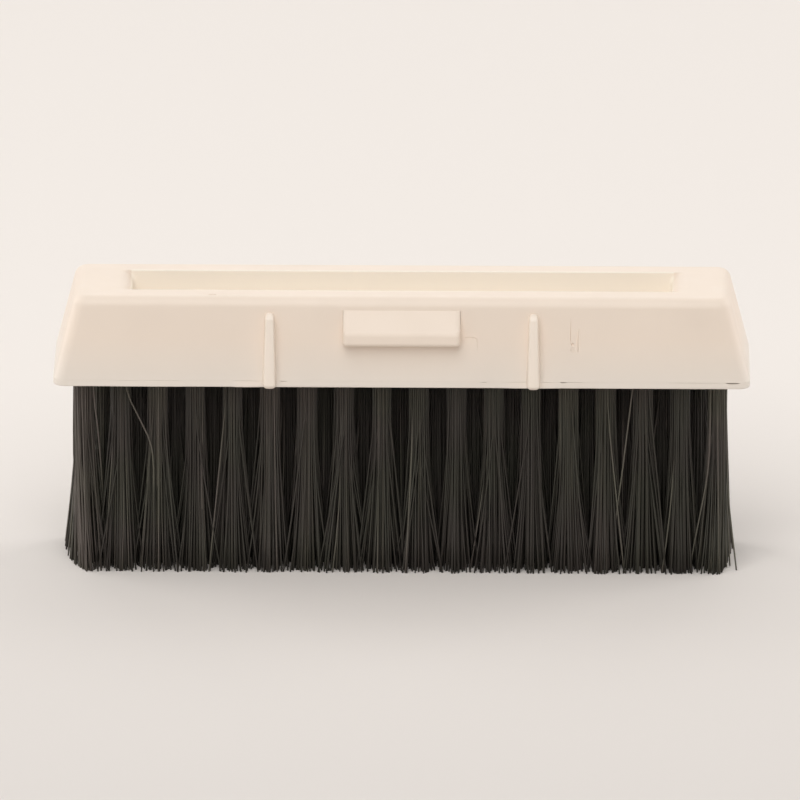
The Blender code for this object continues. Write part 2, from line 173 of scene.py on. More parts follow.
# Filaments
SEED = 20                           # of the first column; the next ones count on from it
STRANDS = 128
STRAND_RADIUS = 0.000150
STRAND_RADIUS_SHARES = (0.86, 1.14)
ROOT_RADIUS = 0.0019
FAN_SHARES = (1.62, 2.75)           # tips over roots, along X and Y
FAN_SPREAD_SHARES = (0.28, 0.24)
SQUARE_SHARE = 0.9                  # how far tufts that press together fill their corners
TIP_JITTER = (0.00035, 0.00030)
LOOSE_SHARE = 0.15                  # of the filaments, which splay widely
LOOSE_REACHES = (0.0030, 0.0053)
LOOSE_START_SHARES = (0.08, 0.40)
LOOSE_POWERS = (1.0, 1.2)
START_SHARES = (0.08, 0.45)         # of the length, where a filament leaves its bundle
POWERS = (1.2, 1.8)
BOW = 0.00015
TIP_RISE = 0.00005
TIP_RISE_LIMIT = 0.0003
FRONT_SPREAD = 0.0034               # of the outer rows, past their roots
REACH_Y = (-0.0108, -0.0076, -0.0022, 0.0046, 0.0090)
LEFT_REACHES = (0.0, 0.0019, 0.0037, 0.0046, 0.0049)    # at those Y, past the end tufts
RIGHT_REACHES = (0.0008, 0.0016, 0.0022, 0.0030, 0.0035)
TIP_PILE = (0.0010, 0.0004)         # how unevenly tips stop at those limits, in X and Y
STATION_SHARES = (-0.03, 0.0, 0.14, 0.28, 0.42, 0.56, 0.70, 0.85, 1.0)
TONE_SHARES = (0.18, 0.66)          # of the whole range, for all but the lightest
TONE_SPREAD = 0.09                  # from tuft to tuft
LOOSE_TONE_RISE = 0.15
# Painted light on the crown of each tuft, where a round bundle faces the light
CROWN_PAINTED_LIGHT = 0.40              # from the sides of a tuft to its middle
CROWN_EDGE_SHARE = 0.5              # of half a pitch, where that rise passes nought
# Painted light on the end columns, which catch light from the sides
END_PAINTED_LIGHT = 0.35                # of the first and the last column
MIDDLE_PAINTED_SHADE = 0.25             # painted shade on the middle row, which is seen in the shaded gaps
# Painted light at the roots, against the shade under the housing
ROOT_PAINTED_LIGHT = 0.38
LIGHT_STRAND_SHARE = 0.06
ROOT_LIKENESS_SHARE = 0.9           # how alike the tones are at the roots
UNLIKE_FROM_SHARE = 0.35            # of the length, from where they differ in full

# Filaments that stand apart: their column, then points from root to tip
STRAY_STATIONS = 14
STRAY_RADIUS = 0.00016
STRAYS = (
    (1, ((-0.0556, -0.0078, 0.0405), (-0.0549, -0.0083, 0.0360), (-0.0509, -0.0090, 0.0275),
         (-0.0500, -0.0092, 0.0220), (-0.0500, -0.0091, 0.0110), (-0.0502, -0.0090, 0.0002))),
    (0, ((-0.0622, -0.0080, 0.0405), (-0.0617, -0.0087, 0.0340), (-0.0611, -0.0085, 0.0285),
         (-0.0603, -0.0065, 0.0160), (-0.0598, -0.0040, 0.0002))),
    (0, ((-0.0654, 0.0060, 0.0405), (-0.0657, 0.0062, 0.0280), (-0.0668, 0.0070, 0.0130),
         (-0.0682, 0.0079, 0.0002))),
    (0, ((-0.0654, -0.0052, 0.0405), (-0.0656, -0.0048, 0.0260), (-0.0664, -0.0030, 0.0110),
         (-0.0674, -0.0015, 0.0002))),
    (15, ((0.0466, -0.0078, 0.0405), (0.0464, -0.0084, 0.0380), (0.0455, -0.0088, 0.0300),
          (0.0444, -0.0089, 0.0204), (0.0430, -0.0088, 0.0090), (0.0424, -0.0087, 0.0002))),
    (17, ((0.0622, -0.0076, 0.0405), (0.0621, -0.0084, 0.0300), (0.0617, -0.0089, 0.0210),
          (0.0603, -0.0090, 0.0125), (0.0589, -0.0090, 0.0049), (0.0583, -0.0089, 0.0002))),
    (17, ((0.0652, -0.0066, 0.0405), (0.0655, -0.0070, 0.0240), (0.0660, -0.0076, 0.0140),
          (0.0676, -0.0090, 0.0002))),
    (17, ((0.0651, -0.0055, 0.0405), (0.0653, -0.0057, 0.0220), (0.0657, -0.0060, 0.0110),
          (0.0663, -0.0062, 0.0002))),
    (17, ((0.0650, -0.0060, 0.0405), (0.0652, -0.0062, 0.0210), (0.0653, -0.0066, 0.0100),
          (0.0656, -0.0070, 0.0002))),
)

# Facets
CORNER_STEPS = 10
FILLET_STEPS = 10
MOUTH_STEPS = 5
BROW_STEPS = 5
EDGE_STEPS = 4
NOSE_STEPS = 8
HOLE_SIDES = 20
STRAND_SIDES = 6
DIMPLE_SIDES = 24
DIMPLE_BANDS = 12
SHARP_ANGLE = math.radians(28)
FILL_INSIDE = 1
FILL_TOLERANCE = 1e-7

# Cream plastic; colours here and below are linear RGB
CREAM_DEEP = (0.818, 0.703, 0.600)
CREAM_PALE = (0.846, 0.728, 0.622)
CREAM_FOOT = (0.780, 0.722, 0.655)
# Painted light: a paler colour inside the socket, for light through its thin walls
SOCKET_PAINTED_LIGHT = (0.920, 0.845, 0.745)
CREAM_SMUDGE = (0.62, 0.53, 0.45)
# Painted highlight on the ribs and burrs, which stand proud
PROUD_PAINTED_HIGHLIGHT = (0.885, 0.785, 0.685)
FOOT_TINT_HEIGHT = 0.0100
FOOT_TINT_SHARE = 0.8
SOCKET_PAINTED_LIGHT_FADE = (0.0003, 0.0006)     # past the socket's half sizes
# Where the painted highlight begins and is full, and how far past a catch it fades in
HIGHLIGHT_FROM = 0.00005               # proud of the long faces
HIGHLIGHT_TO = 0.00040
HIGHLIGHT_PAST_CATCH = 0.0020
SMUDGES = (                         # place, radius, strength
    ((0.06355, -0.0116, 0.0561), 0.0008, 0.35),
    ((0.0595, -0.0130, 0.0535), 0.0065, 0.12),
)
TONE_NOISE = (70.0, 3.0)            # scale and detail, here and below
TONE_STOPS = ((0.25, CREAM_DEEP), (0.75, CREAM_PALE))
ROUGH_NOISE = (260.0, 3.0)
ROUGH_NOISE_RANGE = (0.3, 0.7)
CREAM_ROUGHNESS = (0.42, 0.54)
WAVE_NOISE = (95.0, 1.0)
WAVE_STRENGTH = 0.16
WAVE_HEIGHT = 0.0004
GRAIN_NOISE = (2600.0, 2.0)
GRAIN_STRENGTH = 0.15
GRAIN_HEIGHT = 0.00005

# Filaments, from the darkest strand to the lightest
CHARCOAL_STOPS = (
    (0.00, (0.023, 0.020, 0.016)),
    (0.30, (0.032, 0.028, 0.023)),
    (0.60, (0.040, 0.037, 0.031)),
    (0.85, (0.053, 0.046, 0.037)),
    (1.00, (0.105, 0.094, 0.080)),
)
TINT_NOISE = (75.0, 0.0)
TINT_STOPS = ((0.35, (0.97, 1.02, 0.92)), (0.65, (1.03, 0.97, 1.00)))
CHARCOAL_SPECULAR = 0.35
CHARCOAL_ROUGHNESS = (0.62, 0.48)

# Camera: a long lens, a little from above and from the right
CAMERA_ELEVATION = math.radians(17.35)
CAMERA_AZIMUTH = math.radians(0.5)
CAMERA_ROLL = math.radians(0.13)
CAMERA_DISTANCE = 3.5
CAMERA_LENS = 784.35
SENSOR_WIDTH = 36.0
CAMERA_CLIP = (0.1, 50.0)
AIM_AT = Vector((0.0, -0.01385, 0.0400))
AIM_ASIDE = 0.00030
AIM_BELOW = 0.00257

# Lights
Softbox = namedtuple("Softbox", "name place size watts")
SOFTBOX_COLOUR = (1.0, 0.99, 0.975)
SOFTBOXES = (
    Softbox("left_softbox", (-1.60, 0.50, 0.60), 1.6, 17.0),
    Softbox("right_softbox", (1.60, 0.50, 0.60), 1.6, 18.0),
    Softbox("back_softbox", (0.00, 1.45, 1.25), 1.8, 8.5),
    Softbox("front_softbox", (-0.25, -1.22, 1.42), 1.9, 28.5),
)
LIGHT_TARGET = Vector((0.0, 0.0, 0.04))
WORLD_COLOUR = (1.0, 0.985, 0.965)
WORLD_STRENGTH = 0.17
WORLD_SEEN_COLOUR = (0.895, 0.850, 0.810)

# Floor, paler behind the head than in front of it: painted light, for light that falls off
# towards the front
FLOOR_HALF = 5.0
FLOOR_FADE = (-0.15, 0.12)          # Y where the front shade ends and where the back one begins
FLOOR_FRONT = (0.70, 0.66, 0.63)
FLOOR_BACK = (0.86, 0.81, 0.77)
FLOOR_ROUGHNESS = 0.9

# Levels and places that follow from these
Z_FOOT = Z_BLOCK + FLANGE_THICKNESS + FIT_GAP
Z_FILLET_CENTRE = Z_RIM - RIM_FILLET
Z_SOCKET_UNDERSIDE = Z_RIM - SOCKET_DEPTH - SOCKET_FLOOR
Z_BLOCK_FLOOR_TOP = Z_BLOCK + BLOCK_FLOOR
Z_BACKING = Z_BLOCK_FLOOR_TOP + FIT_GAP
Z_BACKING_TOP = Z_BACKING + BACKING_THICKNESS
TRAY_INSET = WALL + FIT_GAP + BLOCK_RIM
TRAY_RISE = Z_BACKING_TOP - Z_FOOT
TRAY_HALF_LENGTH = HEAD_LENGTH / 2 - TRAY_INSET - TRAY_RISE * math.tan(END_DRAFT)
TRAY_HALF_DEPTH = HEAD_DEPTH / 2 - TRAY_INSET - TRAY_RISE * math.tan(SIDE_DRAFT)
OUTER_TUFT_X = TRAY_HALF_LENGTH - TUFT_END_EDGE - TUFT_HOLE_RADIUS
OUTER_TUFT_Y = TRAY_HALF_DEPTH - TUFT_SIDE_EDGE - TUFT_HOLE_RADIUS
TUFT_PITCH = 2 * OUTER_TUFT_X / (TUFTS_IN_OUTER_ROW - 1)
ROW_PITCH = 2 * OUTER_TUFT_Y / (TUFT_ROWS - 1)
GOLDEN_ANGLE = math.pi * (3 - math.sqrt(5))

Section = namedtuple("Section", "half_x half_y radius z")


def new_object(name, bm, material):
    """Turn a finished bmesh into a shaded object of the scene."""
    bmesh.ops.recalc_face_normals(bm, faces=bm.faces)
    mesh = bpy.data.meshes.new(name)
    bm.to_mesh(mesh)
    bm.free()
    mesh.materials.append(material)
    mesh.shade_smooth()
    mesh.set_sharp_from_angle(angle=SHARP_ANGLE)
    obj = bpy.data.objects.new(name, mesh)
    bpy.context.scene.collection.objects.link(obj)
    return obj


def weigh_normals(obj):
    """Let the large faces set the shading beside small rounds."""
    weighted = obj.modifiers.new("weighted_normals", 'WEIGHTED_NORMAL')
    weighted.keep_sharp = True


def combine(target, joined, cut):
    """Join and cut a target with tool objects by exact Booleans, then drop them."""
    steps = [(tool, 'UNION') for tool in joined] + [(tool, 'DIFFERENCE') for tool in cut]
    for tool, operation in steps:
        boolean = target.modifiers.new(tool.name, 'BOOLEAN')
        boolean.operation = operation
        boolean.solver = 'EXACT'
        boolean.object = tool
    depsgraph = bpy.context.evaluated_depsgraph_get()
    mesh = bpy.data.meshes.new_from_object(target.evaluated_get(depsgraph))
    target.modifiers.clear()
    target.data = mesh
    for tool in (*joined, *cut):
        bpy.data.objects.remove(tool)
    mesh.shade_smooth()
    mesh.set_sharp_from_angle(angle=SHARP_ANGLE)
    weigh_normals(target)


def add_ring(bm, points):
    """Add a loop of vertices."""
    return [bm.verts.new(point) for point in points]


def bridge(bm, lower, upper):
    """Join two loops of the same length with a band of faces."""
    for i in range(len(lower)):
        bm.faces.new((lower[i - 1], lower[i], upper[i], upper[i - 1]))


def skin(bm, outlines):
    """Skin a run of outlines; returns the first and last loops."""
    rings = [add_ring(bm, outline) for outline in outlines]
    for lower, upper in zip(rings, rings[1:]):
        bridge(bm, lower, upper)
    return rings[0], rings[-1]


def close_ends(bm, first, last):
    """Cap a skinned run at both ends."""
    bm.faces.new(first)
    bm.faces.new(last)


def fill_around(bm, outline, islands):
    """Fill a level outline with triangles, leaving its convex islands open."""
    loops = [outline, *islands]
    verts = [vert for loop in loops for vert in loop]
    owner = [number for number, loop in enumerate(loops) for _ in loop]
    edges = []
    for number, loop in enumerate(loops):
        first = owner.index(number)
        edges.extend((first + i, first + (i + 1) % len(loop)) for i in range(len(loop)))
    points = [vert.co.xy for vert in verts]
    _, _, triangles, origins, _, _ = delaunay_2d_cdt(
        points, edges, [], FILL_INSIDE, FILL_TOLERANCE)
    for triangle in triangles:
        corners = [origins[i][0] for i in triangle]
        owners = {owner[i] for i in corners}
        if len(owners) > 1 or owners == {0}:
            bm.faces.new([verts[i] for i in corners])


def rounded_rectangle(section, stations=0):
    """Points of a rectangle with round corners, from the +X side round.

    The two long sides can have stations between their corners.
    """
    points = []
    for corner in range(4):
        start = corner * math.pi / 2
        sign_x = 1 if corner in (0, 3) else -1
        sign_y = 1 if corner in (0, 1) else -1
        centre_x = sign_x * (section.half_x - section.radius)
        centre_y = sign_y * (section.half_y - section.radius)
        for step in range(CORNER_STEPS + 1):
            angle = start + step / CORNER_STEPS * math.pi / 2
            points.append(Vector((
                centre_x + section.radius * math.cos(angle),
                centre_y + section.radius * math.sin(angle),
                section.z)))
        if corner in (0, 2):
            for step in range(1, stations + 1):
                along = 1 - 2 * step / (stations + 1)
                points.append(Vector((centre_x * along, sign_y * section.half_y, section.z)))
    return points


def polygon(centre_x, centre_y, radius, sides, z):
    """Points of a regular polygon in a level plane."""
    return [Vector((
        centre_x + radius * math.cos(math.tau * i / sides),
        centre_y + radius * math.sin(math.tau * i / sides),
        z)) for i in range(sides)]


def wall_half(z, foot_half, draft):
    """Half size of the drafted wall at a height, without the rim fillet."""
    return foot_half - (z - Z_FOOT) * math.tan(draft)


def outer_half(z, foot_half, draft):
    """Half size of the outer skin: drafted wall, then rim fillet."""
    tangent_z = Z_FILLET_CENTRE + RIM_FILLET * math.sin(draft)
    if z <= tangent_z:
        return wall_half(z, foot_half, draft)
    centre = wall_half(tangent_z, foot_half, draft) - RIM_FILLET * math.cos(draft)
    rise = min(z - Z_FILLET_CENTRE, RIM_FILLET)
    return centre + math.sqrt(RIM_FILLET ** 2 - rise ** 2)


def outer_section(z, inset=0.0):
    """Outline of the housing at a height, set in by the same amount all round."""
    half_x = outer_half(z, HEAD_LENGTH / 2, END_DRAFT)
    half_y = outer_half(z, HEAD_DEPTH / 2, SIDE_DRAFT)
    rise_share = (z - Z_FOOT) / (Z_RIM - Z_FOOT)
    radius = FOOT_CORNER_RADIUS + (RIM_CORNER_RADIUS - FOOT_CORNER_RADIUS) * rise_share
    rounded_off = wall_half(z, HEAD_DEPTH / 2, SIDE_DRAFT) - half_y
    radius = max(radius - rounded_off - inset, LEAST_CORNER_RADIUS)
    return Section(half_x - inset, half_y - inset, radius, z)


def front_face(z):
    """Distance of the long outer face from the middle plane."""
    return wall_half(z, HEAD_DEPTH / 2, SIDE_DRAFT)


def mouth_flare(depth, radius):
    """How far a rounded mouth stands back at a depth below the rim."""
    if depth >= radius:
        return 0.0
    return radius - math.sqrt(radius ** 2 - (radius - depth) ** 2)


def socket_section(depth, wall=0.0):
    """Outline of the socket at a depth below the rim, grown by a wall."""
    half_length = HEAD_LENGTH / 2 - SOCKET_END_SETBACK
    half_width = HEAD_DEPTH / 2 - SOCKET_SIDE_SETBACK
    taper = (depth - SOCKET_DEPTH) * math.tan(SOCKET_DRAFT)
    flare_x = mouth_flare(depth, MOUTH_ROUND_ENDS) if wall == 0.0 else 0.0
    flare_y = mouth_flare(depth, MOUTH_ROUND_SIDES) if wall == 0.0 else 0.0
    return Section(
        half_length - taper + flare_x + wall,
        half_width - taper + flare_y + wall,
        SOCKET_CORNER_RADIUS + flare_y + wall,
        Z_RIM - depth)


def housing_sections():
    """The housing's skin, from the socket floor over the rim to the inside."""
    mouth_depths = [SOCKET_DEPTH]
    for step in range(2 * MOUTH_STEPS + 1):
        turn = (1 - step / (2 * MOUTH_STEPS)) * math.pi / 2
        mouth_depths.append(MOUTH_ROUND_ENDS * (1 - math.cos(turn)))
    sections = [socket_section(depth) for depth in mouth_depths]

    for step in range(FILLET_STEPS + 1):
        turn = (1 - step / FILLET_STEPS) * math.pi / 2
        sections.append(outer_section(Z_FILLET_CENTRE + RIM_FILLET * math.sin(turn)))
    sections.append(outer_section(Z_FOOT + FOOT_EDGE))
    setback, height = FOOT_EDGE_POINT
    sections.append(outer_section(Z_FOOT + height, inset=setback))
    sections.append(outer_section(Z_FOOT, inset=FOOT_EDGE))

    ceiling = Z_RIM - RIM_THICKNESS
    inside_top = Section(
        wall_half(ceiling, HEAD_LENGTH / 2, END_DRAFT) - WALL,
        wall_half(ceiling, HEAD_DEPTH / 2, SIDE_DRAFT) - WALL,
        RIM_CORNER_RADIUS - WALL,
        ceiling)
    sections.append(outer_section(Z_FOOT, inset=WALL))
    sections.append(inside_top)
    sections.append(socket_section(RIM_THICKNESS, wall=SOCKET_WALL))
    sections.append(socket_section(Z_RIM - Z_SOCKET_UNDERSIDE, wall=SOCKET_WALL))
    return sections


def soften(before, corner, after, length):
    """A curve that cuts a corner of an outline, over a length of both its sides."""
    before, corner, after = Vector(before), Vector(corner), Vector(after)
    start = corner + (before - corner).normalized() * length
    end = corner + (after - corner).normalized() * length
    shares = [step / BROW_STEPS for step in range(BROW_STEPS + 1)]
    return [start * (1 - share) ** 2 + corner * 2 * share * (1 - share) + end * share ** 2
            for share in shares]


def make_catch(side, material):
    """A snap catch: a ramp from the rim side, a nose and a rounded lip."""
    bm = bmesh.new()
    top = Z_RIM - CATCH_TOP_BELOW_RIM
    nose_top = top - CATCH_RAMP_HEIGHT
    lip_centre = nose_top - CATCH_NOSE_HEIGHT + CATCH_LIP_RADIUS
    half_width = CATCH_WIDTH / 2
    right_end = [(half_width + CATCH_SIDE_FLARE, CATCH_LIP_RADIUS)]
    for step in range(NOSE_STEPS + 1):
        turn = step / NOSE_STEPS * math.pi / 2
        right_end.append((half_width - CATCH_SIDE_ROUND * (1 - math.cos(turn)),
                          CATCH_REACH - CATCH_SIDE_ROUND * (1 - math.sin(turn))))
    outlines = []
    for x, reach in [(-x, reach) for x, reach in right_end] + right_end[::-1]:
        lip = [(reach - CATCH_LIP_RADIUS * (1 - math.cos(turn_down)),
                lip_centre - CATCH_LIP_RADIUS * math.sin(turn_down))
               for turn_down in (i / NOSE_STEPS * math.pi / 2 for i in range(NOSE_STEPS + 1))]
        brow = [(0.0, top), (reach, nose_top), lip[0]]
        outline = [(-CATCH_ROOT, top), brow[0], *soften(*brow, CATCH_BROW_ROUND), *lip,
                   (-CATCH_ROOT, lip[-1][1])]
        outlines.append([Vector((x, side * (front_face(z) + out), z)) for out, z in outline])
    close_ends(bm, *skin(bm, outlines))
    return new_object("catch_tool", bm, material)


def rib_outline(x, side, half_width, reach, z):
    """U-shaped outline of a rib at a height, with a blunt nose."""
    face = front_face(z)
    shoulder = max(reach - half_width, -RIB_ROOT / 2)
    depth = reach - shoulder
    points = [Vector((x - half_width - RIB_FLARE, side * (face - RIB_ROOT), z))]
    for step in range(2 * NOSE_STEPS + 1):
        turn = math.pi * (1 - step / (2 * NOSE_STEPS))
        aside = math.copysign(abs(math.cos(turn)) ** RIB_NOSE_POWER, math.cos(turn))
        points.append(Vector((
            x + half_width * aside,
            side * (face + shoulder + depth * abs(math.sin(turn)) ** RIB_NOSE_POWER),
            z)))
    points.append(Vector((x + half_width + RIB_FLARE, side * (face - RIB_ROOT), z)))
    return points


def make_rib(x, side, material):
    """A guide rib with round ends, down past the underside of the block."""
    bm = bmesh.new()
    top = Z_RIM - RIB_TOP_BELOW_RIM
    foot = Z_BLOCK - RIB_DROP
    turns = [step / NOSE_STEPS * math.pi / 2 for step in range(NOSE_STEPS + 1)]
    levels = [(foot + RIB_END_ROUND * (1 - math.cos(turn)), 1 - math.sin(turn))
              for turn in turns]
    levels += [(top - RIB_END_ROUND * (1 - math.sin(turn)), 1 - math.cos(turn))
               for turn in turns]
    outlines = []
    for z, lost in levels:
        share = (z - foot) / (top - foot)
        width = RIB_FOOT_WIDTH + (RIB_TOP_WIDTH - RIB_FOOT_WIDTH) * share
        half_width = width / 2 * (1 - lost * RIB_END_WIDTH_SHARE)
        reach = RIB_REACH * (1 - lost * RIB_END_REACH_SHARE)
        outlines.append(rib_outline(x, side, half_width, reach, z))
    close_ends(bm, *skin(bm, outlines))
    return new_object("rib_tool", bm, material)


def make_bar(path, half_width, height, material):
    """A thin three-sided bar along a path on the front face.

    Its height is negative for a groove, and each point of the path has its
    X, its Z and its share of the height.
    """
    bm = bmesh.new()
    overrun = -math.copysign(MARK_OVERRUN, height)
    outlines = []
    for i, (x, z, share) in enumerate(path):
        before = path[max(i - 1, 0)]
        after = path[min(i + 1, len(path) - 1)]
        along = Vector((after[0] - before[0], after[1] - before[1])).normalized()
        across_x = -along.y * half_width
        across_z = along.x * half_width
        corners = [(x + across_x, z + across_z, overrun), (x, z, height * share),
                   (x - across_x, z - across_z, overrun)]
        outlines.append([Vector((corner_x, -front_face(corner_z) - out, corner_z))
                         for corner_x, corner_z, out in corners])
    close_ends(bm, *skin(bm, outlines))
    return new_object("bar_tool", bm, material)


def make_dimple(place, size, material):
    """A flattened ball, to cut a shallow dimple with."""
    bm = bmesh.new()
    bmesh.ops.create_uvsphere(
        bm, u_segments=DIMPLE_SIDES, v_segments=DIMPLE_BANDS, radius=1.0,
        matrix=Matrix.LocRotScale(Vector(place), None, Vector(size)))
    return new_object("dimple_tool", bm, material)


def make_front_marks(material):
    """Tools for the small marks of moulding and handling: joined, then cut."""
    joined = [make_bar(BURR_LINE, BURR_HALF_WIDTH, BURR_HEIGHT, material)]
    cut = [
        make_bar(INSERT_LINE, INSERT_LINE_HALF_WIDTH, -INSERT_LINE_DEPTH, material),
        make_bar(NICK_LINE, NICK_HALF_WIDTH, -NICK_DEPTH, material),
        make_dimple(RIM_DIMPLE_AT, RIM_DIMPLE_SIZE, material),
    ]
    for (x, z), size in ((DIMPLE_AT, DIMPLE_SIZE), (DENT_AT, DENT_SIZE)):
        cut.append(make_dimple((x, -front_face(z), z), size, material))
    return joined, cut


def make_housing(material):
    """Hollow moulded housing with its socket, catches, ribs and marks."""
    bm = bmesh.new()
    socket_floor, underside = skin(bm, map(rounded_rectangle, housing_sections()))
    fill_around(bm, socket_floor, [])
    fill_around(bm, underside, [])
    housing = new_object("housing_moulding", bm, material)
    tools = [make_catch(side, material) for side in (-1, 1)]
    tools += [make_rib(x, side, material)
              for side in (-1, 1) for x in (-RIB_SPACING / 2, RIB_SPACING / 2)]
    burrs, marks = make_front_marks(material)
    combine(housing, tools + burrs, marks)
    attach(housing, "root")
    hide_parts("housing")


def row_y(row):
    """Place of a row of tufts across the head."""
    return row * ROW_PITCH - OUTER_TUFT_Y


def tuft_x(column, row):
    """Place of a tuft along the head; odd rows are shifted half a pitch."""
    shift = TUFT_PITCH / 2 if row % 2 else 0.0
    return column * TUFT_PITCH - OUTER_TUFT_X + shift


def rows_of_column(column):
    """Rows whose tufts share one slice of backing."""
    last = column == TUFTS_IN_OUTER_ROW - 1
    return [row for row in range(TUFT_ROWS) if not (last and row % 2)]


def seam_strength(x, stretches):
    """How much the irregular stretches of the seam add up to at a place."""
    along = x / (HEAD_LENGTH / 2)
    return sum(strength * max(0.0, 1 - ((along - middle) / half) ** STRETCH_POWER)
               for middle, half, strength in stretches)


def flange_outline(section, sink_share=0.0):
    """Outline of the flange, which stands proud here and sinks there.

    Its long sides carry on the draft of the walls above them.
    """
    points = rounded_rectangle(section, SEAM_STATIONS)
    for point in points:
        proud = FLANGE_PROUD * seam_strength(point.x, FLANGE_PROUD_SHARES)
        sink = SEAM_OPENING * seam_strength(point.x, SEAM_OPEN_SHARES)
        drafted = (Z_FOOT - point.z) * math.tan(SIDE_DRAFT)
        point.y += math.copysign(proud + drafted, point.y)
        point.z -= sink_share * sink
    return points


def make_block(material):
    """Bristle block: a tray with a flange and a hole for every tuft."""
    bm = bmesh.new()
    body_inset = WALL + FIT_GAP
    top_z = Z_FOOT - SEAM_GAP
    outlines = []
    for step in range(EDGE_STEPS + 1):
        turn = step / EDGE_STEPS * math.pi / 2
        section = outer_section(
            Z_FOOT, inset=FLANGE_SETBACK + FLANGE_EDGE * (1 - math.sin(turn)))
        outlines.append(flange_outline(
            section._replace(z=Z_BLOCK + FLANGE_EDGE * (1 - math.cos(turn)))))
    for inset in (0.0, SEAM_EDGE):
        section = outer_section(Z_FOOT, inset=FLANGE_SETBACK + inset)
        outlines.append(flange_outline(section._replace(z=top_z - SEAM_EDGE + inset), 1.0))
    inner_sections = [
        outer_section(Z_FOOT, inset=body_inset)._replace(z=top_z - SEAM_OPENING),
        outer_section(Z_BLOCK_TOP, inset=body_inset),
        outer_section(Z_BLOCK_TOP, inset=TRAY_INSET),
        outer_section(Z_BLOCK_FLOOR_TOP, inset=TRAY_INSET),
    ]
    outlines += [rounded_rectangle(section, SEAM_STATIONS) for section in inner_sections]
    underside, floor_top = skin(bm, outlines)
    lower_holes = []
    upper_holes = []
    for column in range(TUFTS_IN_OUTER_ROW):
        for row in rows_of_column(column):
            x = tuft_x(column, row)
            y = row_y(row)
            lower = add_ring(bm, polygon(x, y, TUFT_HOLE_RADIUS, HOLE_SIDES, Z_BLOCK))
            upper = add_ring(bm, polygon(x, y, TUFT_HOLE_RADIUS, HOLE_SIDES, Z_BLOCK_FLOOR_TOP))
            bridge(bm, lower, upper)
            lower_holes.append(lower)
            upper_holes.append(upper)
    fill_around(bm, underside, lower_holes)
    fill_around(bm, floor_top, upper_holes)
    block = new_object("bristle_block_moulding", bm, material)
    weigh_normals(block)
    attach(block, "root")
    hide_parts("bristle_block")


def backing_outline(column):
    """Outline of a slice of backing, which steps aside at the middle row.

    The end slices have cut corners, clear of the round corners of the tray.
    """
    centre = tuft_x(column, 0)
    half_width = (TUFT_PITCH - BACKING_GAP) / 2
    half_length = TRAY_HALF_LENGTH - FIT_GAP
    half_depth = TRAY_HALF_DEPTH - FIT_GAP
    corner_cut = outer_section(Z_BACKING_TOP, inset=TRAY_INSET).radius - FIT_GAP
    plug_radius = TUFT_HOLE_RADIUS - FIT_GAP
    step_aside = TUFT_PITCH / 2
    outer_y = ROW_PITCH - plug_radius
    inner_y = plug_radius
    left_shift = step_aside if column > 0 else 0.0
    right_shift = step_aside if column < TUFTS_IN_OUTER_ROW - 1 else 0.0

    def edge(sign, shift):
        x = max(-half_length, min(centre + sign * half_width, half_length))
        if shift == 0.0:
            inner_x = x - sign * corner_cut
            return [(inner_x, -half_depth), (x, corner_cut - half_depth),
                    (x, half_depth - corner_cut), (inner_x, half_depth)]
        return [(x, -half_depth), (x, -outer_y), (x + shift, -inner_y),
                (x + shift, inner_y), (x, outer_y), (x, half_depth)]

    return edge(1, right_shift) + edge(-1, left_shift)[::-1]


def tip_places(x, y, root, rng):
    """Where one tuft's filaments end: a fan that is wide along the head.

    The outer rows stay level with their roots, and the ends of the field
    keep within their reach, which is rounded off towards the front.
    """
    share = rng.normal(FAN_SHARES, FAN_SPREAD_SHARES, (STRANDS, 2))
    squareness = np.linalg.norm(root, axis=1) / np.abs(root).max(axis=1) - 1
    share *= 1 + SQUARE_SHARE * squareness[:, None]
    tip = root * share + rng.normal(0, TIP_JITTER, (STRANDS, 2))
    loose = rng.uniform(0, 1, STRANDS) < LOOSE_SHARE
    reach = np.sign(root[:, 0]) * rng.uniform(*LOOSE_REACHES, STRANDS)
    tip[:, 0] = np.where(loose, reach, tip[:, 0])
    tip += (x, y)

    pile = np.abs(rng.normal(0, TIP_PILE, (STRANDS, 2)))
    depth = OUTER_TUFT_Y + ROOT_RADIUS + FRONT_SPREAD
    tip[:, 1] = np.clip(tip[:, 1], pile[:, 1] - depth, depth - pile[:, 1])
    left_end = -OUTER_TUFT_X - np.interp(tip[:, 1], REACH_Y, LEFT_REACHES)
    right_end = OUTER_TUFT_X + np.interp(tip[:, 1], REACH_Y, RIGHT_REACHES)
    tip[:, 0] = np.clip(tip[:, 0], left_end + pile[:, 0], right_end - pile[:, 0])
    return tip, loose


def strand_paths(x, y, rng):
    """Centre lines of one tuft's filaments, and which of them are loose.

    The lines are an array of strand, station and xyz.
    """
    index = np.arange(STRANDS)
    radius = ROOT_RADIUS * np.sqrt((index + 0.5) / STRANDS)
    turn = index * GOLDEN_ANGLE + rng.uniform(0, math.tau)
    root = np.stack((radius * np.cos(turn), radius * np.sin(turn)), axis=1)
    tip, loose = tip_places(x, y, root, rng)
    root += (x, y)
    start = np.where(loose, rng.uniform(*LOOSE_START_SHARES, STRANDS),
                     rng.uniform(*START_SHARES, STRANDS))
    power = np.where(loose, rng.uniform(*LOOSE_POWERS, STRANDS), rng.uniform(*POWERS, STRANDS))
    bow = rng.normal(0, BOW, (STRANDS, 2))
    tip_z = np.minimum(np.abs(rng.normal(0, TIP_RISE, STRANDS)), TIP_RISE_LIMIT)
    paths = np.zeros((STRANDS, len(STATION_SHARES), 3))
    for station, share in enumerate(STATION_SHARES):
        along = max(share, 0.0)
        opened = np.clip((along - start) / (1 - start), 0, 1) ** power
        swing = math.sin(math.pi * along)
        paths[:, station, :2] = root + (tip - root) * opened[:, None] + bow * swing
        paths[:, station, 2] = Z_BLOCK - share * (Z_BLOCK - tip_z)
    return paths, loose


